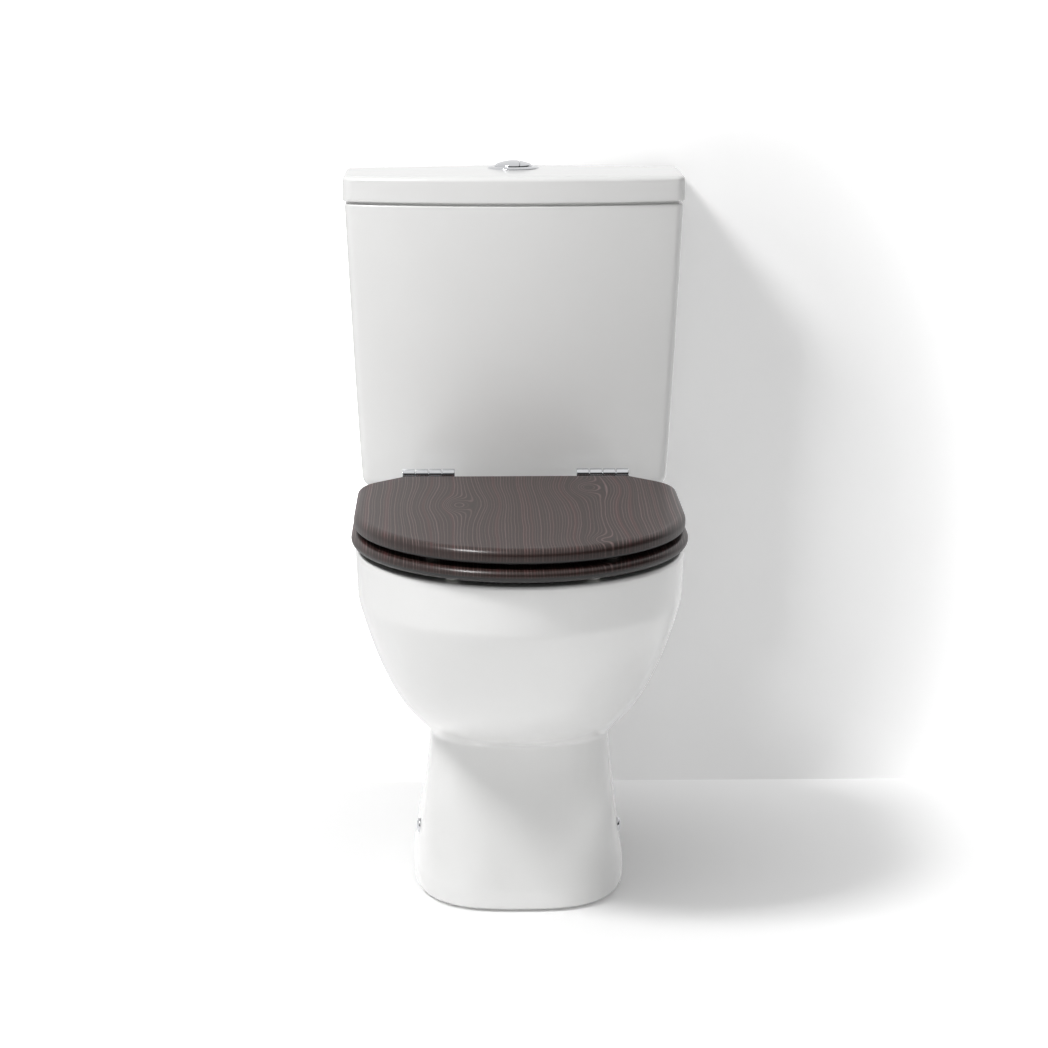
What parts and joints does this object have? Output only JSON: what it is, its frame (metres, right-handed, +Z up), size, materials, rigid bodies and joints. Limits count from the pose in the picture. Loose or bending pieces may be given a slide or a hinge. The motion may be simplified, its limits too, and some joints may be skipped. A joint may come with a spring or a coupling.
{
  "type": "toilet",
  "caption": "Close-coupled floor-standing toilet with a rounded pan, a tapered cistern with a dual flush button, and a dark veneered seat and lid on chrome hinges.",
  "frame": {"origin": "on the floor, below the middle of the plan outline", "axes": "+Z up, front towards -Y, +X to the right as seen from the front"},
  "size_m": [0.398, 0.655, 0.7813],
  "materials": {
    "china": "glossy white glaze",
    "veneer": "dark stained veneer under gloss lacquer",
    "pale_rubber": "satin white",
    "chrome": "polished plate",
    "steel": "zinc plated",
    "spring_steel": "drawn wire",
    "black_rubber": "matt black",
    "white_plastic": "moulded satin",
    "blue_plastic": "moulded satin",
    "grey_plastic": "moulded satin",
    "brass": "bright cast"
  },
  "bodies": {
    "base": {"pan": "china", "cistern": "china", "hinge_pillars": "chrome", "hinge_pins": "chrome", "pillar_washers": "black_rubber", "seat_bolts": "steel", "seat_cone_washers": "black_rubber", "seat_wing_nuts": "white_plastic", "valve_body": "white_plastic", "valve_tower": "blue_plastic", "valve_floor_washer": "black_rubber", "valve_backnut": "white_plastic", "fill_valve": "white_plastic", "fill_floor_washer": "black_rubber", "fill_backnut": "white_plastic", "coupling_plate": "steel", "doughnut_seal": "black_rubber", "coupling_bolts": "steel", "coupling_washers": "black_rubber", "coupling_wing_nuts": "brass", "side_screws": "steel", "side_caps": "chrome", "floor_brackets": "steel"},
    "ring": {"seat_ring": "veneer", "ring_buffers": "pale_rubber", "ring_leaves": "chrome", "ring_leaf_screws": "steel"},
    "lid": {"seat_lid": "veneer", "lid_buffers": "pale_rubber", "lid_leaves": "chrome", "lid_leaf_screws": "steel"},
    "tank_lid": {"cistern_lid": "china", "button_bezel": "chrome", "button_backnut": "white_plastic", "spring_full": "spring_steel", "spring_half": "spring_steel"},
    "full_button": {"button_full": "chrome"},
    "half_button": {"button_half": "chrome"},
    "full_plunger": {"plunger_full": "white_plastic"},
    "half_plunger": {"plunger_half": "white_plastic"},
    "piston": {"valve_piston": "white_plastic", "piston_seal": "black_rubber"},
    "float": {"float_arm": "white_plastic", "float": "grey_plastic", "float_screw": "white_plastic"},
    "inlet_pin": {"fill_plunger": "black_rubber"}
  },
  "joints": [
    {"name": "ring_hinge", "type": "hinge", "parent": "base", "child": "ring", "pos_m": [0, 0.1105, 0.432], "axis": [-1, 0, 0], "range_deg": [0, 94]},
    {"name": "lid_hinge", "type": "hinge", "parent": "ring", "child": "lid", "pos_m": [0, 0.1105, 0.432], "axis": [1, 0, 0], "range_deg": [-94, 0]},
    {"name": "tank_lid_lift", "type": "slide", "parent": "base", "child": "tank_lid", "axis": [0, 0, 1], "range_m": [0, 0.1]},
    {"name": "full_press", "type": "slide", "parent": "tank_lid", "child": "full_button", "axis": [0, 0, -1], "range_m": [0, 0.008], "stiffness_N_per_m": 400, "springref_m": -0.01, "deforming": ["spring_full"]},
    {"name": "half_press", "type": "slide", "parent": "tank_lid", "child": "half_button", "axis": [0, 0, -1], "range_m": [0, 0.008], "stiffness_N_per_m": 400, "springref_m": -0.01, "deforming": ["spring_half"]},
    {"name": "float_swing", "type": "hinge", "parent": "base", "child": "float", "pos_m": [-0.121, 0.2425, 0.657], "axis": [0, -1, 0], "range_deg": [0, 18]},
    {"name": "full_rod", "type": "slide", "parent": "base", "child": "full_plunger", "axis": [0, 0, -1], "range_m": [0, 0.008]},
    {"name": "half_rod", "type": "slide", "parent": "base", "child": "half_plunger", "axis": [0, 0, -1], "range_m": [0, 0.008]},
    {"name": "piston_lift", "type": "slide", "parent": "base", "child": "piston", "axis": [0, 0, 1], "range_m": [0, 0.022]},
    {"name": "inlet_pin_lift", "type": "slide", "parent": "base", "child": "inlet_pin", "axis": [0, 0, 1], "range_m": [0, 0.0036]}
  ],
  "couplings": [
    {"joint": "full_rod", "follows": "full_press", "ratio": 1},
    {"joint": "half_rod", "follows": "half_press", "ratio": 1},
    {"joint": "piston_lift", "follows": "full_press", "ratio": 2.75},
    {"joint": "inlet_pin_lift", "follows": "float_swing", "m_per_rad": 0.0112}
  ]
}
